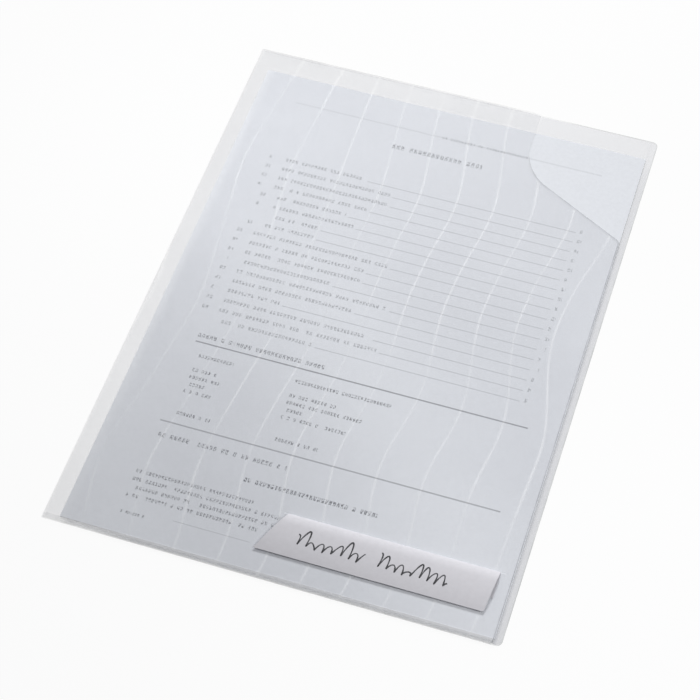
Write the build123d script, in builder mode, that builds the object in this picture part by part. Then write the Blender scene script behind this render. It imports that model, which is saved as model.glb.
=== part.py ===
"""Translucent sheet protector: one film blank folded at the spine and welded along the bottom,
open at the top and at the free side, holding loose A4 pages and a folded title label.

Millimetres. X runs from the spine to the free side, Y up the page, Z up out of the front panel.
The origin is the middle of the back panel's underside.
"""
import os
from math import radians, sin, tan

from build123d import *

# Pages
page_width = 210.0
page_height = 297.0
page_thickness = 0.10
page_count = 4
air = 0.05  # left over and under every sheet in the pocket

# Film pocket
film = 0.20
spine_margin = 8.2  # spine's outside to the pages
free_margin = 3.8  # pages to the back panel's free edge
top_margin = 13.5  # pages to the pocket's mouth
weld_width = 2.5
page_seat = 0.5  # pages stand this far clear of the weld
front_setback = 4.0  # front panel's free edge lies this far inside the back panel's
corner_radius = 3.0

# Thumb cut in the front panel
cut_width = 59.5
cut_drop = 72.0  # mouth to where the slanted edge meets the free edge
cut_slope = 28.3  # slanted edge below the horizontal, degrees
cut_radius = 26.0
cut_end_radius = 2.0

# Title label, a strip of card folded over the lower lip of a slit
label_length = 110.3  # along the front leaf's lower edge
label_height = 22.1  # slit to the front leaf's lower edge
label_card = 0.20
label_base = 14.2  # weld edge of the pocket to the front leaf's lower edge
label_setback = 8.2  # front panel's free edge to the front leaf's lower corner
label_left_lean = 25.0  # how far each end leans to the right from upright, degrees
label_right_lean = 5.5
label_corner = 1.0
label_fold_radius = 0.7  # tight bend where the card leaves the slit
label_crown_radius = 13.0  # easy bend over the top
label_crown_turn = 25.0  # how far the card is from flat where the easy bend starts, degrees
label_droop = 10.0  # slope of the leaf at its lower edge, degrees
label_tuck = 14.0  # length of the back leaf behind the film
slit_clearance = 0.25  # between the card and each lip of the slit
slit_overrun = 2.5  # slit past each end of the card

# Line across which the loose corner of the front panel bends when it is lifted
flex_start = 14.0  # spine's flat edge to the line, along the mouth
flex_above_label = 20.0  # label's fold to the line, along the free edge

# Pocket, worked out from its contents
sheet_width = spine_margin + page_width + free_margin
sheet_height = weld_width + page_seat + page_height + top_margin
page_pitch = page_thickness + air
pocket_depth = page_count * page_pitch + label_card + 2 * air
spine_radius = film + pocket_depth / 2
front_under = film + pocket_depth
front_top = front_under + film

left = -sheet_width / 2
right = sheet_width / 2
bottom = -sheet_height / 2
top = sheet_height / 2
flat_left = left + spine_radius
front_right = right - front_setback

# Thumb cut's corners
cut_left = front_right - cut_width
cut_end = top - cut_drop
cut_corner = cut_end + cut_width * tan(radians(cut_slope))

# Title label's places
label_right = front_right - label_setback
label_left = label_right - label_length
label_bottom = bottom + label_base
slit_y = label_bottom + label_height
fold_left = label_left + label_height * tan(radians(label_left_lean))
fold_right = label_right + label_height * tan(radians(label_right_lean))
fold_length = fold_right - fold_left
crown_run = (label_crown_radius - label_fold_radius) * sin(radians(label_crown_turn))
leaf_run = label_height + label_card - label_fold_radius - crown_run
leaf_radius = leaf_run / sin(radians(label_droop))
slit_width = label_card + 2 * slit_clearance
tuck_under = front_under - air - label_card

# Bending line of the loose corner
flex_from = Vector(flat_left + flex_start, top)
flex_to = Vector(front_right, slit_y + flex_above_label)
flex_plane = Plane(
    origin=flex_from,
    x_dir=flex_to - flex_from,
    z_dir=Vector(flex_from.Y - flex_to.Y, flex_to.X - flex_from.X),
)

os.makedirs("parts", exist_ok=True)


def save(part, name):
    """Labels a finished piece and writes it."""
    part.label = name
    export_step(part, f"parts/{name}.step")


# Whole front panel, thumb cut included
with BuildSketch() as front_outline:
    with BuildLine():
        Polyline(
            (flat_left, bottom),
            (front_right, bottom),
            (front_right, cut_end),
            (cut_left, cut_corner),
            (cut_left, top),
            (flat_left, top),
            close=True,
        )
    make_face()
    rounded_corners = [
        ((front_right, bottom), corner_radius),
        ((front_right, cut_end), cut_end_radius),
        ((cut_left, cut_corner), cut_radius),
        ((cut_left, top), cut_end_radius),
    ]
    for corner, radius in rounded_corners:
        fillet(front_outline.vertices().sort_by_distance(corner)[0], radius)

# Back panel, flat from the spine to its rounded free corners
with BuildPart() as back_panel:
    with BuildSketch(Plane.XY) as back_face:
        with Locations((flat_left, 0)):
            Rectangle(right - flat_left, sheet_height, align=(Align.MIN, Align.CENTER))
        fillet(back_face.vertices().group_by(Axis.X)[-1], corner_radius)
    extrude(amount=film)
save(back_panel.part, "back_panel")

# Spine, the half-round bend that joins the two panels
with BuildPart() as spine_fold:
    with BuildSketch(Plane.XZ):
        with Locations((flat_left, spine_radius)):
            Circle(spine_radius)
            Circle(spine_radius - film, mode=Mode.SUBTRACT)
            Rectangle(
                spine_radius,
                2 * spine_radius,
                align=(Align.MIN, Align.CENTER),
                mode=Mode.SUBTRACT,
            )
    extrude(amount=sheet_height / 2, both=True)
save(spine_fold.part, "spine_fold")

# Weld that closes the bottom of the pocket
with BuildPart() as bottom_weld:
    with BuildSketch(Plane.XY.offset(film)):
        add(front_outline.sketch)
        with Locations((flat_left, bottom)):
            Rectangle(
                front_right - flat_left, weld_width, align=Align.MIN, mode=Mode.INTERSECT
            )
    extrude(amount=pocket_depth)
save(bottom_weld.part, "bottom_weld")

# Front panel as far as the bending line, with the slit for the label
with BuildPart() as front_panel:
    with BuildSketch(Plane.XY.offset(front_under)):
        add(front_outline.sketch)
        with Locations((fold_left - slit_overrun, slit_y)):
            Rectangle(
                fold_length + 2 * slit_overrun,
                slit_width,
                align=(Align.MIN, Align.CENTER),
                mode=Mode.SUBTRACT,
            )
    extrude(amount=film)
    split(bisect_by=flex_plane, keep=Keep.BOTTOM)
save(front_panel.part, "front_panel")

# Loose corner of the front panel, which lifts to open the pocket
with BuildPart() as front_corner:
    with BuildSketch(Plane.XY.offset(front_under)):
        add(front_outline.sketch)
    extrude(amount=film)
    split(bisect_by=flex_plane, keep=Keep.TOP)
save(front_corner.part, "front_corner")

# Label's back leaf, tucked behind the film, with the edge that comes up through the slit
with BuildPart() as label_back_leaf:
    with BuildSketch(Plane.YZ.offset(fold_left)):
        with Locations((slit_y + label_card / 2, tuck_under)):
            Rectangle(label_tuck, label_card, align=(Align.MAX, Align.MIN))
            Rectangle(label_card, front_top - tuck_under, align=(Align.MAX, Align.MIN))
    extrude(amount=fold_length)
save(label_back_leaf.part, "label_back_leaf")

# Label's front leaf, bending up out of the slit and curving down to the film
with BuildPart() as label_front_leaf:
    with BuildSketch(Plane.YZ.offset(label_left)):
        with BuildLine():
            fold_centre = (slit_y - label_fold_radius, front_top)
            fold_turn = 90 - label_crown_turn
            outer_fold = CenterArc(fold_centre, label_fold_radius + label_card / 2, 0, fold_turn)
            inner_fold = CenterArc(fold_centre, label_fold_radius - label_card / 2, 0, fold_turn)
            outer_crown = JernArc(
                outer_fold @ 1, outer_fold % 1, label_crown_radius + label_card / 2, label_crown_turn
            )
            inner_crown = JernArc(
                inner_fold @ 1, inner_fold % 1, label_crown_radius - label_card / 2, label_crown_turn
            )
            face = JernArc(
                outer_crown @ 1, outer_crown % 1, leaf_radius + label_card / 2, label_droop
            )
            underside = JernArc(
                inner_crown @ 1, inner_crown % 1, leaf_radius - label_card / 2, label_droop
            )
            Line(face @ 1, underside @ 1)
            Line(outer_fold @ 0, inner_fold @ 0)
        make_face()
    extrude(amount=fold_right - label_left + label_card)
    with BuildSketch(Plane.XY) as label_outline:
        with BuildLine():
            outline_height = label_height + label_card
            Polyline(
                (label_left, label_bottom),
                (label_right, label_bottom),
                (label_right + outline_height * tan(radians(label_right_lean)), slit_y + label_card),
                (label_left + outline_height * tan(radians(label_left_lean)), slit_y + label_card),
                close=True,
            )
        make_face()
        lower_right = label_outline.vertices().sort_by_distance((label_right, label_bottom))[0]
        fillet(lower_right, label_corner)
    extrude(amount=front_top + label_height, mode=Mode.INTERSECT)
save(label_front_leaf.part, "label_front_leaf")

# Loose pages, the first on top
for place in range(page_count):
    page_under = film + air + (page_count - 1 - place) * page_pitch
    with BuildPart() as page:
        with BuildSketch(Plane.XY.offset(page_under)):
            with Locations((left + spine_margin, bottom + weld_width + page_seat)):
                Rectangle(page_width, page_height, align=Align.MIN)
        extrude(amount=page_thickness)
    save(page.part, f"page_{place + 1}")
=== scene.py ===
"""Sheet protector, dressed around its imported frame.

A frosted film pocket with loose printed pages in it and a folded card label, on a plain pale stage.
Metres throughout, in the frame's own axes: X from the spine to the free side, Y up the page, Z up.
"""

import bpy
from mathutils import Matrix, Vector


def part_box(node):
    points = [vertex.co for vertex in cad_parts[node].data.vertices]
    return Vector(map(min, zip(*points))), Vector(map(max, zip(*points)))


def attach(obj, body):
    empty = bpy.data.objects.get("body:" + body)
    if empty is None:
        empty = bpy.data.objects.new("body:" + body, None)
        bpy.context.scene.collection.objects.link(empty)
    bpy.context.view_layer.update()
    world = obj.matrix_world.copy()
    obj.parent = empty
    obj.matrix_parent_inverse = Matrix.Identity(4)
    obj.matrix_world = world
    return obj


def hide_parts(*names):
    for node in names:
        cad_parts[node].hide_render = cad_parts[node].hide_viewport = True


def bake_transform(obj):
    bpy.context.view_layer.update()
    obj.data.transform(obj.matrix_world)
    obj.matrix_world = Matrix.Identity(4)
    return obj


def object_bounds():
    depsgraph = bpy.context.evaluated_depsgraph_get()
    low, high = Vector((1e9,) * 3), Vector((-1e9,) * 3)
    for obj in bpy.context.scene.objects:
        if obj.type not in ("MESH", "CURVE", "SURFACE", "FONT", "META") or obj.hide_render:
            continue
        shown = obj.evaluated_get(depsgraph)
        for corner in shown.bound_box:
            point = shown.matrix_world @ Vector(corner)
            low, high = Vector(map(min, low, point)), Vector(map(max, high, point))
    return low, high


bl_info = {
    "name": "Sheet Protector",
    "version": (1, 0, 0),
    "blender": (4, 5, 0),
    "location": "View3D > Sidebar > Sheet Protector",
    "description": "Builds a film pocket with loose pages and a title label on a plain stage",
    "category": "Add Mesh",
}

from math import asin, cos, pi, radians, sin, tan

import bmesh
import bpy
from bpy.props import FloatProperty, FloatVectorProperty, PointerProperty
from mathutils import Vector

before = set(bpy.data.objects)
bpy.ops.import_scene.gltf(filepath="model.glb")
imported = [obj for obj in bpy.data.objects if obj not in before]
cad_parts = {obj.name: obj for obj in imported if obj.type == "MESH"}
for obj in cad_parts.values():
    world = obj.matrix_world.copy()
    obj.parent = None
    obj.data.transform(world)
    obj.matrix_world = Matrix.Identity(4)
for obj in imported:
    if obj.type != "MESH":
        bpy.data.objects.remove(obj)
CAD_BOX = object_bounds()

MM = 0.001
NEAR = 0.01 * MM  # two places closer than this are one
MERGED = 0.04 * MM  # vertices closer than this are merged
SMOOTH_ANGLE = radians(35)

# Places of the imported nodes
BACK_LOW, BACK_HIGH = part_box("back_panel")
FRONT_LOW, FRONT_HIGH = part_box("front_panel")
SPINE_LOW, SPINE_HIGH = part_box("spine_fold")
WELD_LOW, WELD_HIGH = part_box("bottom_weld")
LEAF_LOW, LEAF_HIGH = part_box("label_front_leaf")
SADDLE_LOW, SADDLE_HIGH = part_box("label_back_leaf")
PAGE_LOW, PAGE_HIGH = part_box("page_1")
PAGES = sorted(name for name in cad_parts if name.startswith("page_"))

FILM = BACK_HIGH.z - BACK_LOW.z
FRONT_MID = (FRONT_LOW.z + FRONT_HIGH.z) / 2
BACK_MID = (BACK_LOW.z + BACK_HIGH.z) / 2
STRIP_CELL = 8 * MM  # along the weld and the label


def linear(code):
    """Linear colour of an sRGB hex code."""
    channels = [int(code[place : place + 2], 16) / 255 for place in (0, 2, 4)]
    return tuple(c / 12.92 if c <= 0.04045 else ((c + 0.055) / 1.055) ** 2.4 for c in channels)


def length(name, description, default):
    """A length setting, given in millimetres and kept in metres."""
    return FloatProperty(name=name, description=description, default=default * MM, min=0,
                         unit="LENGTH", precision=5)


def angle(name, description, default):
    """An angle setting, given in degrees."""
    return FloatProperty(name=name, description=description, default=radians(default),
                         subtype="ANGLE")


def share(name, description, default):
    """A setting from 0 to 1."""
    return FloatProperty(name=name, description=description, default=default, min=0, max=1,
                         subtype="FACTOR")


def power(name, description, default):
    """A light's power setting, in watts."""
    return FloatProperty(name=name, description=description, default=default, subtype="POWER")


def colour(name, description, default):
    """A colour setting, given as an sRGB hex code."""
    return FloatVectorProperty(name=name, description=description, default=linear(default), size=3,
                               min=0, max=1, subtype="COLOR")


class FilmSettings(bpy.types.PropertyGroup):
    """Sizes and finish of the film pocket."""

    cut_width: length("Cut width", "Thumb cut, across from the front's free edge", 59.5)
    cut_drop: length("Cut drop", "Mouth to where the slanted edge meets the free edge", 72.0)
    cut_slope: angle("Cut slope", "Slanted edge of the thumb cut, below level", 28.3)
    cut_radius: length("Cut radius", "Round at the inner corner of the thumb cut", 26.0)
    cut_end_radius: length("Cut end radius", "Round at both ends of the thumb cut", 2.0)
    corner_radius: length("Corner radius", "Round at the free corners of the back", 3.0)
    front_radius: length("Front radius", "Round at the free lower corner of the front and the weld", 1.5)
    slit_width: length("Slit width", "Opening of the label's slit", 0.7)
    slit_overrun: length("Slit overrun", "Slit past each end of the label", 2.5)
    cell: length("Cell", "Width of the mesh's cells, so that the film can bend", 4.5)
    bend_width: length("Bend width", "Width of the bend when the loose corner lifts", 60.0)
    # the band along a cut edge is partly painted shadow of the edge
    edge_width: length("Edge width", "Band along a cut edge that the die left denser", 0.55)
    tint: colour("Film tint", "Milky colour of the film", "A9ABB4")
    # the edges' darker tint is partly painted shadow
    edge_tint: colour("Edge tint", "Colour of the film's cut edges", "8A8C90")
    weld_tint: colour("Weld tint", "Colour of the welded seam at the pocket's edge", "DADCE0")
    clear_tint: colour("Clear tint", "Colour of the welded seam towards the pages", "F0F1F4")
    # also the tint of the painted light over the pages' left edge
    line_and_painted_light_tint: colour("Line tint", "Colour of the fine lines printed on the film", "FBFCFD")
    opacity: share("Opacity", "How much one face of the front film hides", 0.105)
    back_opacity: share("Back opacity", "How much one face of the back film hides", 0.085)
    line_pitch: length("Line pitch", "Fine printed lines, one to the next", 21.0)
    line_width: length("Line width", "Width of a fine printed line", 0.9)


class PageSettings(bpy.types.PropertyGroup):
    """Finish of the loose pages."""

    cell: length("Cell", "Width of the mesh's cells, so that a page can curve", 10.0)
    paper: colour("Paper", "Colour of the office paper", "F0F3F9")
    ink: colour("Ink", "Colour of the printing ink", "4A4C52")


class LabelSettings(bpy.types.PropertyGroup):
    """Sizes and finish of the title label."""

    card: length("Card", "Thickness of the card", 0.2)
    fold_radius: length("Fold radius", "Tight bend where the card leaves the slit", 0.7)
    crown_radius: length("Crown radius", "Easy bend over the top", 13.0)
    crown_turn: angle("Crown turn", "How far the card is from flat where the easy bend starts", 25.0)
    droop: angle("Droop", "Slope of the leaf at its lower edge", 11.4)
    left_lean: angle("Left lean", "How far the left end leans to the right from upright", 25.0)
    right_lean: angle("Right lean", "How far the right end leans to the right from upright", 5.5)
    corner: length("Corner", "Round at the lower right corner", 1.0)
    card_tint: colour("Card tint", "Colour of the card", "E5E4EA")
    pen_tint: colour("Pen tint", "Colour of the pen marks", "2A2B30")
    pen_width: length("Pen width", "Width of a pen stroke", 0.75)


class StageSettings(bpy.types.PropertyGroup):
    """Camera and light."""

    azimuth: angle("Azimuth", "Camera to the right of straight ahead", 17.81)
    elevation: angle("Elevation", "Camera above level", 54.28)
    distance: length("Distance", "Camera to the point it looks at", 1040.7)
    lens: FloatProperty(name="Lens", description="Focal length", default=108.7,
                        subtype="DISTANCE_CAMERA")
    floor: colour("Floor", "Colour of the floor", "F7F8F9")
    key_power: power("Key power", "Softbox behind", 10.8)
    fill_power: power("Fill power", "Small softbox at the right", 0.46)
    lamp_power: power("Lamp power", "Lamp over the left side", 0.086)
    ambient: share("Ambient", "Even light from all around", 0.12)


# Modelling, as by hand


def start_sheet(name, low, high, height):
    """Adds a flat rectangle between two corners at a height, and opens it for editing."""
    bpy.ops.object.select_all(action="DESELECT")
    middle = ((low[0] + high[0]) / 2, (low[1] + high[1]) / 2, height)
    bpy.ops.mesh.primitive_plane_add(size=1, location=middle)
    piece = bpy.context.object
    piece.name = piece.data.name = name
    piece.scale = (high[0] - low[0], high[1] - low[1], 1)
    bpy.ops.object.transform_apply(location=True, rotation=True, scale=True)
    bpy.ops.object.mode_set(mode="EDIT")
    return piece


def pick(piece, kind, test):
    """Selects only the vertices, edges or faces whose middle passes a test."""
    bpy.ops.mesh.select_mode(type=kind)
    bpy.ops.mesh.select_all(action="DESELECT")
    mesh = bmesh.from_edit_mesh(piece.data)
    for item in {"VERT": mesh.verts, "EDGE": mesh.edges, "FACE": mesh.faces}[kind]:
        corners = [item] if kind == "VERT" else item.verts
        if test(sum((corner.co for corner in corners), Vector()) / len(corners)):
            item.select_set(True)
    bmesh.update_edit_mesh(piece.data)


def cut(point, normal, drop=False):
    """Cuts the whole mesh along a plane, and drops what lies on the normal's side if asked."""
    bpy.ops.mesh.select_all(action="SELECT")
    bpy.ops.mesh.bisect(plane_co=point, plane_no=normal, clear_outer=drop)


def cut_cells(low, high, cell, axes=(0, 1)):
    """Cuts the mesh into cells about so wide."""
    for axis in axes:
        count = max(1, round((high[axis] - low[axis]) / cell))
        for place in range(1, count):
            point, normal = Vector(low), Vector()
            point[axis] += (high[axis] - low[axis]) * place / count
            normal[axis] = 1
            cut(point, normal)
    bpy.ops.mesh.select_all(action="SELECT")
    bpy.ops.mesh.remove_doubles(threshold=MERGED)


def round_corner(piece, x, y, radius, opening=pi / 2, segments=6):
    """Rounds the corner at x, y, whose two edges stand at an angle."""
    pick(piece, "VERT", lambda place: abs(place.x - x) < NEAR and abs(place.y - y) < NEAR)
    bpy.ops.mesh.bevel(offset_type="OFFSET", offset=radius / tan(opening / 2), segments=segments,
                       affect="VERTICES", clamp_overlap=False)


def spin_edge(piece, test, turn, centre, axis, steps):
    """Draws the edges that pass a test round an axis, by a right-handed turn."""
    pick(piece, "EDGE", test)
    bpy.ops.mesh.spin(steps=steps, angle=-turn, center=centre, axis=axis)


def face_outwards():
    """Makes the edited mesh's faces point the same way after a spin."""
    bpy.ops.mesh.select_all(action="SELECT")
    bpy.ops.mesh.normals_make_consistent(inside=False)


def lay_flat_map(piece):
    """Ends a film's editing with a UV map of the flat, in metres from the pocket's lower left corner."""
    bpy.ops.object.mode_set(mode="OBJECT")
    places = piece.data.uv_layers.new(name="flat")
    for loop in piece.data.loops:
        place = piece.data.vertices[loop.vertex_index].co
        places.data[loop.index].uv = (place.x - CAD_BOX[0].x, place.y - CAD_BOX[0].y)


def apply_modifier(piece, kind, **settings):
    """Adds a modifier with its settings and applies it."""
    modifier = piece.modifiers.new(kind.title(), kind)
    for name, value in settings.items():
        setattr(modifier, name, value)
    bpy.context.view_layer.objects.active = piece
    bpy.ops.object.modifier_apply(modifier=modifier.name)


def mark_cut_edges(piece, width, spine):
    """Insets a sheet's outline, and gives the band along its cut edges the second material.

    The edge at the spine isn't cut, so it keeps the first.
    """
    bpy.ops.mesh.select_mode(type="FACE")
    bpy.ops.mesh.select_all(action="SELECT")
    bpy.ops.mesh.inset(thickness=width, use_boundary=True, use_even_offset=True)
    mesh = bmesh.from_edit_mesh(piece.data)
    for face in mesh.faces:
        face.material_index = int(not face.select and face.calc_center_median().x > spine + width)
    bmesh.update_edit_mesh(piece.data)


def finish_sheet(piece, thickness, materials, spine=None):
    """Gives an edited sheet its thickness, its finish and smooth shading.

    Its rim takes the last material, but where it ends at the spine it takes the first.
    """
    bpy.ops.object.mode_set(mode="OBJECT")
    for material in materials:
        piece.data.materials.append(material)
    apply_modifier(piece, "SOLIDIFY", thickness=thickness, offset=0, use_quality_normals=True,
                   material_offset_rim=len(materials) - 1)
    if spine is not None:
        for face in piece.data.polygons:
            if abs(face.center.x - spine) < NEAR:
                face.material_index = 0
    bpy.ops.object.select_all(action="DESELECT")
    piece.select_set(True)
    bpy.ops.object.shade_smooth_by_angle(angle=SMOOTH_ANGLE)


# Finishes. A noise takes its place, scale, detail and roughness, and a Map Range its value, where it starts
# and ends, and what it gives there.

NOISE = (0.3, 0.7)  # most values of a noise texture lie between these


def node(tree, kind, *inputs, sockets=None, **settings):
    """Adds a node with its settings. Inputs fill its open sockets in order, sockets fill them by name."""
    made = tree.nodes.new("ShaderNode" + kind)
    for name, value in settings.items():
        setattr(made, name, value)
    opened = [socket for socket in made.inputs if socket.enabled]
    filled = list(zip(opened, inputs))
    filled += [(made.inputs[name], given) for name, given in (sockets or {}).items()]
    for socket, given in filled:
        if isinstance(given, bpy.types.Node):
            given = next(output for output in given.outputs if output.enabled)
        if isinstance(given, bpy.types.NodeSocket):
            tree.links.new(given, socket)
        elif given is not None:
            socket.default_value = given
    return made


def new_material(name):
    """An empty node material, and its tree."""
    material = bpy.data.materials.new(name)
    material.use_nodes = True
    material.node_tree.nodes.clear()
    return material, material.node_tree


def opaque(tint):
    """A linear colour with full alpha."""
    return (*tint, 1)


def seen_directly(tree):
    """1 where the eye meets a surface, also mirrored or through film, and 0 where it only gives light."""
    rays = node(tree, "LightPath").outputs
    seen = node(tree, "Math", rays["Is Camera Ray"], rays["Is Glossy Ray"], operation="ADD")
    return node(tree, "Math", seen, rays["Is Transmission Ray"], operation="ADD", use_clamp=True)


# Film. Lengths are millimetres on the flat from the pocket's lower left corner, and an opacity is the
# share of the light that one face hides.
PP_IOR = 1.49
PAGE_LEFT = (PAGE_LOW.x - CAD_BOX[0].x) / MM
PAGE_TOP = (PAGE_HIGH.y - CAD_BOX[0].y) / MM
FREE_EDGE = (FRONT_HIGH.x - CAD_BOX[0].x) / MM
CLOUD = 55.0  # size of milkier and clearer patches
CLOUD_OPACITY = 0.02
EMBOSSING = 1.1  # grain of the matt face, drawn coarser than the real one so that it shows
FORWARD = 0.75  # share of the hidden light that goes on to what lies under the film

# Broad waves of painted shade and sheen on the front, whose mesh stays flat
WAVE_LENGTH, WAVE_PHASE = 152.0, -0.703
WAVE_RUN = (0.79, 0.61, 0)  # the way from one wave to the next
WAVE_CALM = (165.0, 215.0, 1.0, 0.0)  # up the page they die out
WAVE_PAINTED_SHADE = (-1.0, 1.0, 1.3, 0.6)  # painted shade and sheen: milkier in one half of each wave, clearer in the other
FOLD_PAINTED_LIGHT = (PAGE_LEFT, PAGE_LEFT + 5, 0.75, 0.0)  # painted light: a paler tint over the pages' left edge beside the fold, fading 5 mm in
FOLD_CHANGE = (0.0, 2.0, 0.5, 1.0)  # over the fold it is drawn thin

# Fine printed lines
WANDER = (1 / 150, 1 / 95, 1)  # across and up, one over the length of a line's swings
WANDER_REACH = 1.2  # a line's swings over the pitch
LINE_BLUR = 1.2  # a line's soft width over its real one
LINE_OPACITY = 0.028
LINE_WORN = (0.35, 0.6, 0.4, 0.85)  # stronger in milky patches
LINE_RUBBED = (20.0, 140.0, 0.85, 1.0)  # rubbed most beside the spine

# Opacity added as painted shade and painted shadow, and where the thumb cut leaves the back open
ABOVE_PAGES = (PAGE_TOP, PAGE_TOP + 1)
MOUTH_PAINTED_SHADE = (45.0, 125.0, 0.0, 0.055)  # painted shade, more towards the free side
THUMB_OPACITY = 0.085  # on the back, where the thumb cut leaves it open
HEM_PAINTED_SHADOW = (FREE_EDGE - 1, FREE_EDGE + 0.5, 0.0, 0.215)  # painted shadow on the back, past the front's free edge
HEM_SHADOW_FADE = (PAGE_TOP - 15, PAGE_TOP, 1.0, 0.65)  # the painted shadow is lighter beside the mouth
CONTACT_SHADOW_LINE = FREE_EDGE + 0.5  # where the painted contact shadow of the front's and pages' edges lies on the back
CONTACT_SHADOW = (0.2, 1.2, 0.14, 0.0)  # painted contact shadow, out from that line


def milky_face(tree, opacity):
    """A film's place on the flat, how far across and up that is, the clouds in it and what they hide."""
    flat = node(tree, "UVMap", uv_map="flat")
    place = node(tree, "VectorMath", flat, (1 / MM,) * 3, operation="MULTIPLY")
    across, up, _ = node(tree, "SeparateXYZ", place).outputs
    cloud = node(tree, "TexNoise", place, 1 / CLOUD, 2.0, 0.5, noise_dimensions="2D")
    hiding = node(tree, "MapRange", cloud, 0.1, 0.9, opacity - CLOUD_OPACITY, opacity + CLOUD_OPACITY)
    return place, across, up, cloud, hiding


def painted_wave_shade(tree, place, up, over):
    """Painted shade and sheen of broad waves: the front's opacity changes in bands, where the flat mesh has
    no waves.
    """
    slant = node(tree, "VectorMath", place, WAVE_RUN, operation="DOT_PRODUCT")
    wave = node(tree, "Math", slant, 2 * pi / WAVE_LENGTH, WAVE_PHASE, operation="MULTIPLY_ADD")
    wave = node(tree, "Math", wave, operation="COSINE")
    calm = node(tree, "MapRange", up, *WAVE_CALM)
    wave = node(tree, "Math", wave, calm, operation="MULTIPLY")
    change = node(tree, "MapRange", wave, *WAVE_PAINTED_SHADE)
    return node(tree, "Mix", over, 1.0, change)


def printed_lines(tree, settings, place, across, cloud):
    """Strength of the fine lines that wander up the front, worn in patches."""
    pitch = settings.line_pitch / MM
    soft = LINE_BLUR * settings.line_width / MM
    stretched = node(tree, "VectorMath", place, WANDER, operation="MULTIPLY")
    wander = node(tree, "TexNoise", stretched, 1.0, 0.0, 0.5, noise_dimensions="2D")
    moved = node(tree, "Math", wander, WANDER_REACH * pitch, across, operation="MULTIPLY_ADD")
    phase = node(tree, "Math", moved, pitch, operation="PINGPONG")
    off = node(tree, "Math", phase, pitch / 2, operation="SUBTRACT")
    off = node(tree, "Math", off, operation="ABSOLUTE")
    line = node(tree, "MapRange", off, 0.0, soft, 1.0, 0.0, interpolation_type="SMOOTHSTEP")
    worn = node(tree, "MapRange", cloud, *LINE_WORN)
    rubbed = node(tree, "MapRange", across, *LINE_RUBBED)
    for less in (worn, rubbed):
        line = node(tree, "Math", line, less, operation="MULTIPLY")
    return line


def mouth_painted_shade(tree, across, up, thumbed=None):
    """Painted shade above the pages, more towards the free side, plus any opacity given for where the thumb
    cut leaves the back open.
    """
    above = node(tree, "MapRange", up, *ABOVE_PAGES)
    painted_shade_and_density = node(tree, "MapRange", across, *MOUTH_PAINTED_SHADE)
    if thumbed:
        painted_shade_and_density = node(tree, "Math", painted_shade_and_density, thumbed, operation="ADD")
    return node(tree, "Math", painted_shade_and_density, above, operation="MULTIPLY")


def film_surface(tree, place, tint, hiding):
    """Ends a film's finish: a soft sheen on fine embossing.

    The film scatters light forward, so it hardly shades what lies under it.
    """
    rays = node(tree, "LightPath").outputs
    passing = node(tree, "Math", rays["Is Shadow Ray"], rays["Is Diffuse Ray"], operation="ADD")
    passing = node(tree, "Math", passing, -FORWARD, 1.0, operation="MULTIPLY_ADD")
    hiding = node(tree, "Math", hiding, passing, operation="MULTIPLY")
    grain = node(tree, "TexNoise", place, 1 / EMBOSSING, 2.0, 0.6, noise_dimensions="2D")
    bump = node(tree, "Bump", sockets={"Strength": 0.06, "Distance": 0.2 * MM, "Height": grain})
    shader = node(tree, "BsdfPrincipled", sockets={
        "Base Color": tint, "Roughness": 0.42, "IOR": PP_IOR, "Alpha": hiding, "Normal": bump})
    node(tree, "OutputMaterial", shader)


def frosted_front(settings):
    """Front film, polypropylene with a matt embossed face: milky, see-through close up, softly shining.

    It has broad waves of painted shade and sheen, is drawn thin over the fold, has painted light over the
    pages' left edge, and has fine wandering lines in white.
    """
    material, tree = new_material("frosted_polypropylene")
    place, across, up, cloud, hiding = milky_face(tree, settings.opacity)
    beside = node(tree, "Math", across, PAGE_LEFT, operation="GREATER_THAN")
    over = node(tree, "Math", up, PAGE_TOP, operation="LESS_THAN")
    over = node(tree, "Math", over, beside, operation="MULTIPLY")
    # painted shade and sheen of broad waves
    wave_shade = painted_wave_shade(tree, place, up, over)
    hiding = node(tree, "Math", hiding, wave_shade, operation="MULTIPLY")
    # painted light over the pages' left edge beside the fold
    fold_light = node(tree, "MapRange", across, *FOLD_PAINTED_LIGHT)
    fold_light = node(tree, "Math", fold_light, over, operation="MULTIPLY")
    line = printed_lines(tree, settings, place, across, cloud)
    # white where a line is printed, and paler where light is painted beside the fold
    lines_and_fold_light = node(tree, "Math", line, fold_light, operation="MAXIMUM")
    tint = node(tree, "Mix", lines_and_fold_light, opaque(settings.tint), opaque(settings.line_and_painted_light_tint), data_type="RGBA")
    hiding = node(tree, "Math", line, LINE_OPACITY, hiding, operation="MULTIPLY_ADD")
    fold = node(tree, "MapRange", across, *FOLD_CHANGE)
    hiding = node(tree, "Math", hiding, fold, operation="MULTIPLY")
    # painted shade above the pages
    hiding = node(tree, "Math", hiding, mouth_painted_shade(tree, across, up), operation="ADD")
    film_surface(tree, place, tint, hiding)
    return material


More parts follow.
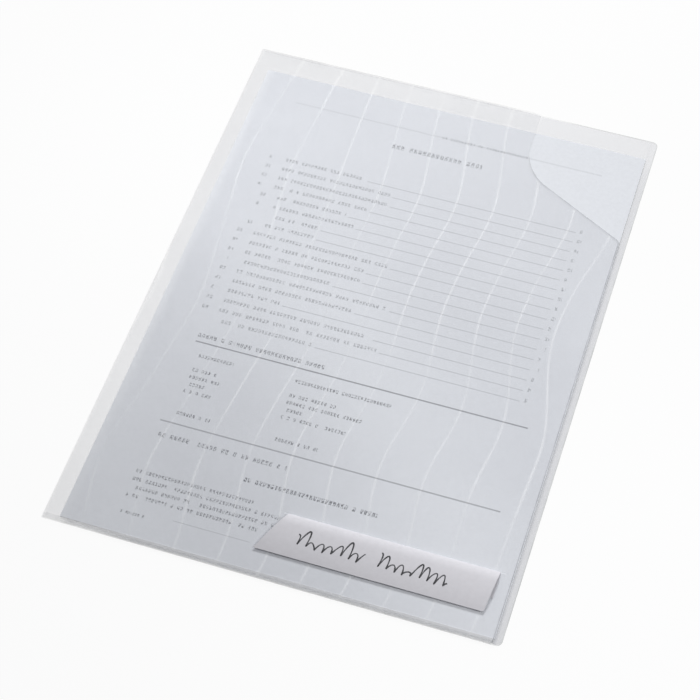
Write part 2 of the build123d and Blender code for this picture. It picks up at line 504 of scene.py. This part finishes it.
def frosted_back(settings):
    """Back film, of the same polypropylene: milkier at the mouth as painted shade, and past the front as
    painted shadow.

    A painted contact shadow runs along the front's free edge.
    """
    material, tree = new_material("frosted_polypropylene_back")
    place, across, up, _, hiding = milky_face(tree, settings.back_opacity)
    # painted shadow past the front's free edge
    hem_shadow = node(tree, "MapRange", across, *HEM_PAINTED_SHADOW, interpolation_type="SMOOTHSTEP")
    shadow_fade = node(tree, "MapRange", up, *HEM_SHADOW_FADE)
    hem_shadow = node(tree, "Math", hem_shadow, shadow_fade, operation="MULTIPLY")
    # painted contact shadow along the front's free edge
    contact_shadow = node(tree, "Math", across, CONTACT_SHADOW_LINE, operation="SUBTRACT")
    contact_shadow = node(tree, "Math", contact_shadow, operation="ABSOLUTE")
    contact_shadow = node(tree, "MapRange", contact_shadow, *CONTACT_SHADOW)
    cut_end = (FRONT_HIGH.y - settings.cut_drop - CAD_BOX[0].y) / MM
    shadow_fade = node(tree, "MapRange", up, cut_end - 2, cut_end + 4, 1.0, 0.25)  # the painted shadow is lighter beside the thumb cut
    contact_shadow = node(tree, "Math", contact_shadow, shadow_fade, operation="MULTIPLY")
    hiding = node(tree, "Math", hiding, contact_shadow, operation="ADD")
    bare = (FRONT_HIGH.x - settings.cut_width - CAD_BOX[0].x) / MM
    thumbed = node(tree, "MapRange", across, bare - 1, bare + 1, 0.0, THUMB_OPACITY)
    painted_shade_and_density = mouth_painted_shade(tree, across, up, thumbed)
    painted_shade_and_density = node(tree, "Math", painted_shade_and_density, hem_shadow, operation="MAXIMUM")
    hiding = node(tree, "Math", hiding, painted_shade_and_density, operation="ADD")
    film_surface(tree, place, opaque(settings.tint), hiding)
    return material


# Cut edges and the weld, in metres
EDGE_NICK = 9 * MM  # length of a nick along a cut edge
EDGE_OPACITY = (*NOISE, 0.14, 0.2)
EDGE_DENSER_RANGE = (-31 * MM, 9 * MM)  # X where an edge begins to grow denser towards the free side, and where it is densest
BACK_EDGE_DENSITY = 1.5  # opacity's change where the back's edge is densest
EDGE_MELTED = (WELD_LOW.y, WELD_LOW.y + 1.5 * MM, 0.3, 1.0)  # Y where the weld rounds an edge off
THUMB_DROP = 15 * MM  # mouth to the place on the upright of the cut where the edge line is faintest
EDGE_THUMBED = (14 * MM, 28 * MM, 0.3, 1.0)  # distance from there
WELD_CLEAR = (WELD_LOW.y + 0.8 * MM, WELD_HIGH.y)  # Y where the grey of the weld clears to the pages
WELD_RIM = (WELD_LOW.y, WELD_LOW.y + 1.9 * MM, 0.15, 0.75)  # Y where the bar presses less
WELD_BEGUN = (WELD_LOW.x + 5 * MM, WELD_LOW.x + 13 * MM, 0.05, 0.62)  # X where it begins to press
WELD_FULL = (WELD_LOW.x + 25 * MM, WELD_LOW.x + 45 * MM, 0.0, 0.38)  # X where it comes to press fully


def film_edge(settings, name="polypropylene_cut_edge", free_side_density=1.0):
    """Guillotined edge of the film, a thin denser and darker line: partly the cut edge's own, partly
    painted shadow that the edge casts on what lies under it.
    """
    material, tree = new_material(name)
    place = node(tree, "TexCoord").outputs["Object"]
    across, up, _ = node(tree, "SeparateXYZ", place).outputs
    nicks = node(tree, "TexNoise", place, 1 / EDGE_NICK, 0.0, 0.6)
    hiding = node(tree, "MapRange", nicks, *EDGE_OPACITY)
    denser_free_side = node(tree, "MapRange", across, *EDGE_DENSER_RANGE, 1.0, free_side_density)
    melted = node(tree, "MapRange", up, *EDGE_MELTED)
    upright = (FRONT_HIGH.x - settings.cut_width, FRONT_HIGH.y - THUMB_DROP, FRONT_HIGH.z)
    thumbed = node(tree, "VectorMath", place, upright, operation="DISTANCE")
    thumbed = node(tree, "MapRange", thumbed, *EDGE_THUMBED)
    for change in (denser_free_side, melted, thumbed):
        hiding = node(tree, "Math", hiding, change, operation="MULTIPLY")
    shader = node(tree, "BsdfPrincipled", sockets={
        "Base Color": opaque(settings.edge_tint), "Roughness": 0.3, "IOR": PP_IOR, "Alpha": hiding})
    node(tree, "OutputMaterial", shader)
    return material


def welded_film(settings):
    """Two films melted together by a heated bar: greyer and denser than the film, clearing to the pages.

    The bar presses less at the rim and beside the spine, so the seam is thinner and clearer there.
    """
    material, tree = new_material("welded_polypropylene")
    place = node(tree, "TexCoord").outputs["Object"]
    across, up, _ = node(tree, "SeparateXYZ", place).outputs
    clear = node(tree, "MapRange", up, *WELD_CLEAR, interpolation_type="SMOOTHSTEP")
    tint = node(tree, "Mix", clear, opaque(settings.weld_tint), opaque(settings.clear_tint),
                data_type="RGBA")
    rim = node(tree, "MapRange", up, *WELD_RIM)
    begun = node(tree, "MapRange", across, *WELD_BEGUN)
    full = node(tree, "MapRange", across, *WELD_FULL)
    pressed = node(tree, "Math", begun, full, operation="ADD")
    hiding = node(tree, "Math", rim, pressed, operation="MULTIPLY")
    shader = node(tree, "BsdfPrincipled", sockets={
        "Base Color": tint, "Roughness": 0.4, "IOR": PP_IOR, "Alpha": hiding})
    node(tree, "OutputMaterial", shader)
    return material


# Fibres of paper and card, drawn coarser than real ones so that they show
PAPER_FIBRE = 1.8 * MM
CARD_FIBRE = 2.6 * MM
FIBRE_TONE = (*NOISE, 0.965, 1.02)


def paper(tree, tint, fibre, ink=None, ink_tint=None):
    """Ends an uncoated sheet's finish: dull, with fibres that mottle its colour and roughen its face."""
    place = node(tree, "TexCoord").outputs["Object"]
    fibres = node(tree, "TexNoise", place, 1 / fibre, 4.0, 0.65)
    mottle = node(tree, "MapRange", fibres, *FIBRE_TONE)
    face = node(tree, "Mix", 1.0, opaque(tint), mottle, data_type="RGBA", blend_type="MULTIPLY")
    if ink:
        face = node(tree, "Mix", ink, face, opaque(ink_tint), data_type="RGBA")
    bump = node(tree, "Bump", sockets={"Strength": 0.12, "Distance": 0.2 * MM, "Height": fibres})
    shader = node(tree, "BsdfPrincipled", sockets={
        "Base Color": face, "Roughness": 0.75, "Specular IOR Level": 0.25, "Normal": bump})
    node(tree, "OutputMaterial", shader)


def office_paper(settings):
    """Plain copier paper: white and dull, seen only at its edges and from behind."""
    material, tree = new_material("office_paper")
    paper(tree, settings.paper, PAPER_FIBRE)
    return material


# Layout of the printed page, in millimetres from its lower left corner
PITCH = 4.35
LIST_PITCH = 6.46
LIST_TOP = 240.0
FORM_TOP = 107.0
MARGIN = 25.3
TEXT_BLOCKS = (
    # left, shortest, longest, top, pitch, rows, height, strength
    (103.8, 47.0, 48.0, 279.9, PITCH, 1, 1.9, 0.36),
    (77.8, 51.0, 52.0, 266.8, PITCH, 1, 3.0, 0.6),
    (20.8, 1.4, 2.6, LIST_TOP, LIST_PITCH, 4, 2.2, 0.52),
    (29.8, 32.0, 62.0, LIST_TOP, LIST_PITCH, 4, 2.2, 0.52),
    (24.4, 2.0, 3.2, LIST_TOP - 4 * LIST_PITCH, LIST_PITCH, 4, 2.2, 0.52),
    (33.8, 16.0, 48.0, LIST_TOP - 4 * LIST_PITCH, LIST_PITCH, 4, 2.2, 0.52),
    (20.8, 1.4, 3.4, LIST_TOP - 8 * LIST_PITCH, LIST_PITCH, 10, 2.2, 0.52),
    (29.8, 26.0, 86.0, LIST_TOP - 8 * LIST_PITCH, LIST_PITCH, 10, 2.2, 0.52),
    (189.0, 1.4, 2.4, LIST_TOP, LIST_PITCH, 18, 2.2, 0.52),
    (MARGIN, 64.0, 66.0, 119.2, PITCH, 1, 2.5, 0.7),
    (29.8, 14.0, 20.0, FORM_TOP, PITCH, 1, 2.0, 0.75),
    (29.8, 9.0, 16.0, FORM_TOP - 2 * PITCH, PITCH, 4, 2.0, 0.75),
    (29.8, 14.0, 20.0, FORM_TOP - 8 * PITCH, PITCH, 1, 2.0, 0.75),
    (79.8, 46.0, 50.0, FORM_TOP, PITCH, 1, 2.0, 0.75),
    (79.8, 8.0, 40.0, FORM_TOP - 2 * PITCH, PITCH, 4, 2.0, 0.75),
    (79.8, 20.0, 24.0, FORM_TOP - 8 * PITCH, PITCH, 1, 2.0, 0.75),
    (MARGIN, 66.0, 68.0, 58.2, PITCH, 1, 2.5, 0.7),
    (74.8, 64.0, 66.0, 46.4, PITCH, 1, 2.4, 0.85),
    (24.8, 56.0, 78.0, 35.4, 4.5, 4, 2.0, 0.68),
    (25.8, 11.0, 12.0, 12.2, PITCH, 1, 1.5, 0.8),
)
RULES = (
    # left, right, height on the page, thickness, strength
    (21.8, 190.8, 278.9, 1.0, 0.11),
    (MARGIN, 194.8, 113.9, 0.8, 0.6),
    (MARGIN, 194.8, 64.8, 0.8, 0.48),
    (51.0, 88.8, 13.6, 0.35, 0.3),
)
LEADER_BLOCKS = (3, 5, 7)  # places of the blocks whose rows run on as a thin rule
LEADER_GAP = 1.5
LEADER_END = 187.0
LEADER_HALF = 0.28  # half its thickness
LEADER_STRENGTH = 0.27
MARK_SHAPE = 0.8  # a mark's width over its height
MARK_MIDDLE, MARK_HALF = 0.42, 0.36  # inked part of a mark, as shares of its width
MARK_INK = (0.16, 0.17, 0.0, 1.0)  # about one mark in six is a gap
STROKE_WIDE, STROKE_TALL = 0.42, 1.1  # strokes that the marks are made of
STROKE_INK = (0.4, 0.55, 0.0, 1.0)


def printed_rows():
    """Node group of a block of rows: where its marks are, and where each row's thin rule runs on."""
    group = bpy.data.node_groups.new("printed_rows", "ShaderNodeTree")
    for name in ("Across", "Up", "Left", "Shortest", "Longest", "Top", "Pitch", "Rows", "Height"):
        group.interface.new_socket(name, in_out="INPUT", socket_type="NodeSocketFloat")
    for name in ("Marks", "Leader"):
        group.interface.new_socket(name, in_out="OUTPUT", socket_type="NodeSocketFloat")
    given = group.nodes.new("NodeGroupInput").outputs
    down = node(group, "Math", given["Top"], given["Up"], operation="SUBTRACT")
    down = node(group, "Math", down, given["Pitch"], operation="DIVIDE")
    row = node(group, "Math", down, operation="FLOOR")
    within = node(group, "Math", down, operation="FRACT")
    within = node(group, "Math", within, given["Pitch"], operation="MULTIPLY")
    started = node(group, "Math", down, 0.0, operation="GREATER_THAN")
    unfinished = node(group, "Math", down, given["Rows"], operation="LESS_THAN")
    inside = node(group, "Math", started, unfinished, operation="MULTIPLY")
    seed = node(group, "Math", row, given["Top"], operation="ADD")
    draw = node(group, "TexWhiteNoise", seed, noise_dimensions="1D").outputs["Value"]
    spread = node(group, "Math", given["Longest"], given["Shortest"], operation="SUBTRACT")
    run = node(group, "Math", draw, spread, given["Shortest"], operation="MULTIPLY_ADD")
    along = node(group, "Math", given["Across"], given["Left"], operation="SUBTRACT")
    after = node(group, "Math", along, 0.0, operation="GREATER_THAN")
    before = node(group, "Math", along, run, operation="LESS_THAN")
    tall = node(group, "Math", within, given["Height"], operation="LESS_THAN")
    wide = node(group, "Math", given["Height"], MARK_SHAPE, operation="MULTIPLY")
    mark = node(group, "Math", along, wide, operation="DIVIDE")
    number = node(group, "Math", mark, operation="FLOOR")
    place = node(group, "CombineXYZ", number, seed)
    draw = node(group, "TexWhiteNoise", place, noise_dimensions="2D").outputs["Value"]
    weight = node(group, "MapRange", draw, *MARK_INK)
    body = node(group, "Math", mark, operation="FRACT")
    body = node(group, "Math", body, MARK_MIDDLE, MARK_HALF, operation="COMPARE")
    marks = node(group, "Math", after, before, operation="MULTIPLY")
    for limit in (tall, inside, weight, body):
        marks = node(group, "Math", marks, limit, operation="MULTIPLY")
    past = node(group, "Math", run, LEADER_GAP, operation="ADD")
    past = node(group, "Math", along, past, operation="GREATER_THAN")
    short = node(group, "Math", given["Across"], LEADER_END, operation="LESS_THAN")
    foot = node(group, "Math", within, given["Height"], LEADER_HALF, operation="COMPARE")
    leader = node(group, "Math", past, short, operation="MULTIPLY")
    for limit in (foot, inside):
        leader = node(group, "Math", leader, limit, operation="MULTIPLY")
    result = group.nodes.new("NodeGroupOutput").inputs
    group.links.new(marks.outputs[0], result["Marks"])
    group.links.new(leader.outputs[0], result["Leader"])
    return group


def printed_paper(settings):
    """Copier paper with a page of print: headings, rules, a list and paragraphs.

    The print is rows of grey marks with no letters, and it shows dulled through the film.
    """
    material, tree = new_material("printed_office_paper")
    place = node(tree, "TexCoord").outputs["Object"]
    place = node(tree, "Mapping", place, vector_type="POINT", sockets={
        "Location": (-PAGE_LOW.x / MM, -PAGE_LOW.y / MM, 0), "Scale": (1 / MM,) * 3})
    across, up, _ = node(tree, "SeparateXYZ", place).outputs
    strokes = node(tree, "VectorMath", place, (1 / STROKE_WIDE, 1 / STROKE_TALL, 0), operation="MULTIPLY")
    strokes = node(tree, "TexNoise", strokes, 1.0, 0.0, 0.5, noise_dimensions="2D")
    strokes = node(tree, "MapRange", strokes, *STROKE_INK)
    rows = printed_rows()
    ink = rules = 0.0
    for number, (*layout, strength) in enumerate(TEXT_BLOCKS):
        block = node(tree, "Group", across, up, *layout, node_tree=rows)
        ink = node(tree, "Math", block.outputs["Marks"], strength, ink, operation="MULTIPLY_ADD")
        if number in LEADER_BLOCKS:
            rules = node(tree, "Math", block.outputs["Leader"], LEADER_STRENGTH, rules,
                         operation="MULTIPLY_ADD")
    ink = node(tree, "Math", ink, strokes, operation="MULTIPLY")
    for left, right, height, thickness, strength in RULES:
        level = node(tree, "Math", up, height, thickness / 2, operation="COMPARE")
        reach = node(tree, "Math", across, (left + right) / 2, (right - left) / 2, operation="COMPARE")
        bar = node(tree, "Math", level, reach, operation="MULTIPLY")
        rules = node(tree, "Math", bar, strength, rules, operation="MULTIPLY_ADD")
    ink = node(tree, "Math", ink, rules, operation="ADD", use_clamp=True)
    paper(tree, settings.paper, PAPER_FIBRE, ink, settings.ink)
    return material


def label_card(settings):
    """Uncoated white card: thicker fibres than paper, so a coarser mottle."""
    material, tree = new_material("uncoated_card")
    paper(tree, settings.card_tint, CARD_FIBRE)
    return material


PEN_FLOW = 1.5 * MM  # length of a stroke's denser and thinner stretches
PEN_OPACITY = (0.35, 0.6, 0.72, 1.0)


def pen_ink(settings):
    """Felt pen on card: nearly black, with a slight shine, thinner where the pen moved fast."""
    material, tree = new_material("felt_pen_ink")
    place = node(tree, "TexCoord").outputs["Object"]
    flow = node(tree, "TexNoise", place, 1 / PEN_FLOW, 2.0, 0.5)
    hiding = node(tree, "MapRange", flow, *PEN_OPACITY)
    shader = node(tree, "BsdfPrincipled", sockets={
        "Base Color": opaque(settings.pen_tint), "Roughness": 0.55, "Alpha": hiding})
    node(tree, "OutputMaterial", shader)
    return material


FLOOR_MOTTLE = 30 * MM
FLOOR_TONE = (*NOISE, 0.99, 1.0)
FLOOR_BRIGHT = 0.92  # share of plain white where it is seen


def floor_paper(settings):
    """Seamless pale paper: nearly white where it is seen, with a share of the object's shadow."""
    material, tree = new_material("seamless_paper")
    place = node(tree, "TexCoord").outputs["Object"]
    fibres = node(tree, "TexNoise", place, 1 / FLOOR_MOTTLE, 3.0, 0.5)
    mottle = node(tree, "MapRange", fibres, *FLOOR_TONE)
    tint = opaque(settings.floor)
    face = node(tree, "Mix", 1.0, tint, mottle, data_type="RGBA", blend_type="MULTIPLY")
    matt = node(tree, "BsdfDiffuse", face)
    bright = node(tree, "Emission", (1, 1, 1, 1), 1.0)
    bright_share = node(tree, "Math", seen_directly(tree), FLOOR_BRIGHT, operation="MULTIPLY")
    mixed = node(tree, "MixShader", bright_share, matt, bright)
    node(tree, "OutputMaterial", mixed)
    return material


# Pieces


class PROTECTOR_OT_back_film(bpy.types.Operator):
    """Back of the pocket, flat on the desk"""

    bl_idname = "protector.back_film"
    bl_label = "Back Film"

    def execute(self, context):
        settings = context.scene.protector_film
        stiff_cell = 4 * settings.cell  # the back never bends
        edge = film_edge(settings, "polypropylene_cut_edge_back", BACK_EDGE_DENSITY)
        piece = start_sheet("back_film", BACK_LOW, BACK_HIGH, BACK_MID)
        for y in (BACK_LOW.y, BACK_HIGH.y):
            round_corner(piece, BACK_HIGH.x, y, settings.corner_radius)
        mark_cut_edges(piece, settings.edge_width, BACK_LOW.x)
        cut_cells(BACK_LOW, BACK_HIGH, stiff_cell)
        lay_flat_map(piece)
        finish_sheet(piece, FILM, [frosted_back(settings), edge], BACK_LOW.x)
        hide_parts("back_panel")
        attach(piece, "pocket")
        return {"FINISHED"}


class PROTECTOR_OT_front_film(bpy.types.Operator):
    """Front of the pocket and its bend at the spine, with the thumb cut and the label's slit"""

    bl_idname = "protector.front_film"
    bl_label = "Front Film"

    def execute(self, context):
        settings = context.scene.protector_film
        piece = start_sheet("front_film", FRONT_LOW, FRONT_HIGH, FRONT_MID)
        self.cut_thumb_notch(piece, settings)
        mark_cut_edges(piece, settings.edge_width, FRONT_LOW.x)
        cut_cells(FRONT_LOW, FRONT_HIGH, settings.cell)
        self.cut_slit(piece, settings)
        spine_middle = Vector((FRONT_LOW.x, 0, (SPINE_LOW.z + SPINE_HIGH.z) / 2))
        spin_edge(piece, lambda place: abs(place.x - FRONT_LOW.x) < NEAR, -pi, spine_middle,
                  (0, 1, 0), steps=8)
        face_outwards()
        lay_flat_map(piece)
        finish_sheet(piece, FILM, [frosted_front(settings), film_edge(settings)], FRONT_LOW.x)
        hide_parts("front_panel", "front_corner", "spine_fold")
        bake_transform(piece)
        return {"FINISHED"}

    def cut_thumb_notch(self, piece, settings):
        """Takes the thumb cut out of the upper right and rounds the front's corners."""
        cut_left = FRONT_HIGH.x - settings.cut_width
        cut_end = Vector((FRONT_HIGH.x, FRONT_HIGH.y - settings.cut_drop, FRONT_MID))
        cut_corner = cut_end.y + settings.cut_width * tan(settings.cut_slope)
        slope = Vector((sin(settings.cut_slope), cos(settings.cut_slope), 0))
        cut((cut_left, 0, 0), (1, 0, 0))
        cut(cut_end, slope)
        pick(piece, "FACE", lambda place: place.x > cut_left and (place - cut_end).dot(slope) > 0)
        bpy.ops.mesh.delete(type="FACE")
        bpy.ops.mesh.select_all(action="SELECT")
        bpy.ops.mesh.dissolve_faces(use_verts=False)
        wide = pi / 2 + settings.cut_slope
        round_corner(piece, cut_left, cut_corner, settings.cut_radius, wide, segments=14)
        round_corner(piece, cut_end.x, cut_end.y, settings.cut_end_radius, wide)
        round_corner(piece, cut_left, FRONT_HIGH.y, settings.cut_end_radius)
        round_corner(piece, FRONT_HIGH.x, FRONT_LOW.y, settings.front_radius)

    def cut_slit(self, piece, settings):
        """Opens the slit that the label's fold comes through."""
        middle = SADDLE_HIGH.y - bpy.context.scene.protector_label.card / 2
        low, high = middle - settings.slit_width / 2, middle + settings.slit_width / 2
        left, right = SADDLE_LOW.x - settings.slit_overrun, SADDLE_HIGH.x + settings.slit_overrun
        for y in (low, high):
            cut((0, y, 0), (0, 1, 0))
        for x in (left, right):
            cut((x, 0, 0), (1, 0, 0))
        pick(piece, "FACE", lambda place: left < place.x < right and low < place.y < high)
        bpy.ops.mesh.delete(type="FACE")


class PROTECTOR_OT_weld(bpy.types.Operator):
    """Welded seam along the bottom"""

    bl_idname = "protector.weld"
    bl_label = "Weld"

    def execute(self, context):
        settings = context.scene.protector_film
        radius = settings.front_radius
        film_gap = 0.02 * MM  # keeps the seam's faces apart from the films'
        page_gap = 0.05 * MM
        piece = start_sheet("weld_seam", WELD_LOW, (FRONT_HIGH.x, WELD_HIGH.y + radius),
                            (WELD_LOW.z + WELD_HIGH.z) / 2)
        round_corner(piece, FRONT_HIGH.x, WELD_LOW.y, radius)
        # The films draw together up to the pages
        cut((0, PAGE_LOW.y - page_gap, 0), (0, 1, 0), drop=True)
        cut_cells(WELD_LOW, WELD_HIGH, STRIP_CELL, axes=(0,))
        finish_sheet(piece, WELD_HIGH.z - WELD_LOW.z - 2 * film_gap, [welded_film(settings)])
        apply_modifier(piece, "BEVEL", width=0.2 * MM, segments=2, limit_method="ANGLE")
        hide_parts("bottom_weld")
        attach(piece, "pocket")
        return {"FINISHED"}


class PROTECTOR_OT_pages(bpy.types.Operator):
    """Loose pages in the pocket, the printed one on top"""

    bl_idname = "protector.pages"
    bl_label = "Pages"

    def execute(self, context):
        settings = context.scene.protector_pages
        blank, printed = office_paper(settings), printed_paper(settings)
        for name in PAGES:
            low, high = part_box(name)
            piece = start_sheet(f"{name}_sheet", low, high, (low.z + high.z) / 2)
            cut_cells(low, high, settings.cell)
            finish_sheet(piece, high.z - low.z, [printed if name == PAGES[0] else blank])
            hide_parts(name)
            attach(piece, name)
        return {"FINISHED"}


# Pen marks on the label, in millimetres from its lower left corner
PEN_RUNS = (
    # start, length, loops
    (18, 33, 8),
    (57, 35, 9),
)
PEN_POINTS = 14  # points of a loop's curve
PEN_TALL, PEN_SWELL = 2.4, 0.9  # half a loop's height, and how much it grows and shrinks
PEN_LOOP = 0.55  # half a loop's width
PEN_FOOT, PEN_DRIFT = 3.4, 0.5  # loops' feet under the run's middle, and how far they wander
PEN_SLANT = 0.25
PEN_LOWERED = 0.8  # the runs' middle under the leaf's
PEN_FLAT = 0.12  # a stroke's thickness over its width
PEN_SINK = 0.02  # how far a stroke sinks into the card


class PROTECTOR_OT_label(bpy.types.Operator):
    """Title label: a card that bends up out of the slit and curves down to the film"""

    bl_idname = "protector.label"
    bl_label = "Label"

    def execute(self, context):
        settings = context.scene.protector_label
        card = label_card(settings)
        slit = SADDLE_HIGH.y - settings.card / 2
        piece = start_sheet("label_leaf", (LEAF_LOW.x, slit - settings.fold_radius),
                            (LEAF_HIGH.x + settings.card, slit), SADDLE_HIGH.z)
        pick(piece, "VERT", lambda place: place.y < slit - NEAR)
        bpy.ops.mesh.delete(type="VERT")
        arch, radius = self.bend_card(piece, settings, slit)
        tall = LEAF_HIGH.y - LEAF_LOW.y
        corner = Vector((LEAF_HIGH.x - tall * tan(settings.right_lean), LEAF_LOW.y, 0))
        cut(LEAF_LOW, (-1, tan(settings.left_lean), 0), drop=True)
        cut(corner, (1, -tan(settings.right_lean), 0), drop=True)
        cut(corner, (0, -1, 0), drop=True)
        round_corner(piece, corner.x, corner.y, settings.corner, segments=3)
        cut_cells(LEAF_LOW, LEAF_HIGH, STRIP_CELL, axes=(0,))
        face_outwards()
        finish_sheet(piece, settings.card, [card])
        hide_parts("label_front_leaf")
        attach(piece, "label_leaf")
        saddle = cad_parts["label_back_leaf"]
        saddle.data.materials.clear()
        saddle.data.materials.append(card)
        self.write_marks(settings, arch, radius)
        return {"FINISHED"}

    def bend_card(self, piece, settings, slit):
        """Draws the card up out of the slit, over the top and down to the film.

        Gives the last bend's centre and radius.
        """
        out = pi / 2 - settings.crown_turn
        fold = Vector((0, slit - settings.fold_radius, SADDLE_HIGH.z))
        inward = settings.fold_radius - settings.crown_radius
        crown = fold + Vector((0, cos(out), sin(out))) * inward
        radius = (crown.y - LEAF_LOW.y + settings.card) / sin(settings.droop)
        arch = crown + Vector((0, 0, settings.crown_radius - radius))
        bends = (
            # centre, radius, angle it starts from, turn, steps
            (fold, settings.fold_radius, 0, out, 6),
            (crown, settings.crown_radius, out, settings.crown_turn, 8),
            (arch, radius, pi / 2, settings.droop, 12),
        )
        for centre, bend, start, turn, steps in bends:
            begin = centre + Vector((0, cos(start), sin(start))) * bend
            spin_edge(piece, lambda place: (place.yz - begin.yz).length < NEAR, turn, centre,
                      (1, 0, 0), steps)
        return arch, radius

    def write_marks(self, settings, arch, radius):
        """Two runs of looping pen strokes on the label's face, which curves by the given arch."""
        line = bpy.data.curves.new("label_pen_marks", "CURVE")
        line.dimensions = "3D"
        line.bevel_depth = settings.pen_width / 2
        line.bevel_resolution = 1
        for start, run, loops in PEN_RUNS:
            self.draw_loops(line.splines.new("NURBS"), start, run, loops)
        piece = bpy.data.objects.new("label_pen_marks", line)
        bpy.context.collection.objects.link(piece)
        bpy.ops.object.select_all(action="DESELECT")
        piece.select_set(True)
        bpy.context.view_layer.objects.active = piece
        bpy.ops.object.convert(target="MESH")
        piece.scale.z = PEN_FLAT
        middle = (LEAF_LOW.y + SADDLE_HIGH.y) / 2 - PEN_LOWERED * MM
        slope = asin((arch.y - middle) / radius)
        face = arch.z + radius * cos(slope) + settings.card / 2 - PEN_SINK * MM
        piece.location = (LEAF_LOW.x, middle, face)
        piece.rotation_euler.x = slope
        bpy.ops.object.transform_apply(location=True, rotation=True, scale=True)
        piece.data.materials.append(pen_ink(settings))
        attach(piece, "label_leaf")

    def draw_loops(self, spline, start, run, loops):
        """Draws one run of loops, which change at uneven rates so that no two are alike."""
        count = PEN_POINTS * loops
        spline.points.add(count - 1)
        for number, point in enumerate(spline.points):
            turn = number / count * loops * 2 * pi
            swell = sin(0.41 * turn + start) + sin(0.17 * turn + 1.4)
            sway = sin(turn + 0.4 * sin(0.3 * turn))
            x = start + run * number / count + PEN_LOOP * sway
            y = (PEN_TALL + PEN_SWELL * swell) * (1 + cos(turn))
            y += PEN_DRIFT * sin(0.23 * turn) - PEN_FOOT
            point.co = ((x + PEN_SLANT * y) * MM, y * MM, 0, 1)
        spline.order_u = 3
        spline.use_endpoint_u = True


# Stage, in metres
LOOK_AT = Vector((-3.4, -21.3, 0)) * MM
FLOOR_CORNER = Vector((3.0, 3.0))
FLOOR_GAP = 0.05 * MM  # keeps the floor apart from the film


def towards(azimuth, elevation):
    """Direction at an azimuth from +Y towards +X and an elevation above level."""
    level = cos(elevation)
    return Vector((sin(azimuth) * level, cos(azimuth) * level, sin(elevation)))


class PROTECTOR_OT_stage(bpy.types.Operator):
    """Floor, light and camera"""

    bl_idname = "protector.stage"
    bl_label = "Stage"

    def execute(self, context):
        settings = context.scene.protector_stage
        scene = context.scene
        floor = start_sheet("stage_floor", -FLOOR_CORNER, FLOOR_CORNER, CAD_BOX[0].z - FLOOR_GAP)
        bpy.ops.object.mode_set(mode="OBJECT")
        floor.data.materials.append(floor_paper(settings))
        self.light(settings)
        self.surround(scene, settings)
        back = towards(pi - settings.azimuth, settings.elevation)
        bpy.ops.object.camera_add(location=LOOK_AT + back * settings.distance,
                                  rotation=(-back).to_track_quat("-Z", "Y").to_euler())
        scene.camera = context.object
        scene.camera.name = "stage_camera"
        scene.camera.data.lens = settings.lens
        scene.view_settings.view_transform = "Standard"
        return {"FINISHED"}

    def light(self, settings):
        """A softbox behind, a small one at the right and a lamp over the left side."""
        softboxes = (
            # name, azimuth, elevation, distance, width, height, power
            ("stage_key", -7, 32, 1.2, 0.27, 0.13, settings.key_power),
            ("stage_fill", 120, 50, 0.4, 0.15, 0.1, settings.fill_power),
            ("stage_lamp", -60, 45, 0.25, 0.06, 0.06, settings.lamp_power),
        )
        for name, azimuth, elevation, distance, width, height, watts in softboxes:
            out = towards(radians(azimuth), radians(elevation))
            bpy.ops.object.light_add(type="AREA", location=out * distance,
                                     rotation=out.to_track_quat("Z", "Y").to_euler())
            softbox = bpy.context.object
            softbox.name = name
            softbox.data.shape = "RECTANGLE"
            softbox.data.size, softbox.data.size_y = width, height
            softbox.data.energy = watts
            softbox.visible_camera = False

    def surround(self, scene, settings):
        """An even pale surround, white where it is seen and dimmer as a light."""
        scene.world = bpy.data.worlds.new("stage_surround")
        scene.world.use_nodes = True
        tree = scene.world.node_tree
        tree.nodes.clear()
        strength = node(tree, "MapRange", seen_directly(tree), 0.0, 1.0, settings.ambient, 1.0)
        node(tree, "OutputWorld", node(tree, "Background", (1, 1, 1, 1), strength))


class PROTECTOR_PT_sidebar(bpy.types.Panel):
    """Settings and steps of the sheet protector"""

    bl_label = "Sheet Protector"
    bl_space_type = "VIEW_3D"
    bl_region_type = "UI"
    bl_category = "Sheet Protector"

    def draw(self, context):
        for settings in SETTINGS:
            group = getattr(context.scene, settings)
            column = self.layout.column(align=True)
            for name in group.bl_rna.properties.keys():
                if name not in {"rna_type", "name"}:
                    column.prop(group, name)
        for step in STEPS:
            self.layout.operator(step.bl_idname)


SETTINGS = {
    "protector_film": FilmSettings,
    "protector_pages": PageSettings,
    "protector_label": LabelSettings,
    "protector_stage": StageSettings,
}
STEPS = (
    PROTECTOR_OT_front_film,
    PROTECTOR_OT_back_film,
    PROTECTOR_OT_weld,
    PROTECTOR_OT_pages,
    PROTECTOR_OT_label,
    PROTECTOR_OT_stage,
)


def register():
    for made in (*SETTINGS.values(), *STEPS, PROTECTOR_PT_sidebar):
        bpy.utils.register_class(made)
    for name, group in SETTINGS.items():
        setattr(bpy.types.Scene, name, PointerProperty(type=group))


def unregister():
    for name in SETTINGS:
        delattr(bpy.types.Scene, name)
    for made in (PROTECTOR_PT_sidebar, *reversed(STEPS), *reversed(SETTINGS.values())):
        bpy.utils.unregister_class(made)


def main():
    """Builds the pieces and the stage."""
    register()
    bpy.ops.protector.front_film()
    bpy.ops.protector.back_film()
    bpy.ops.protector.weld()
    bpy.ops.protector.pages()
    bpy.ops.protector.label()
    bpy.ops.protector.stage()


if __name__ == "__main__":
    main()
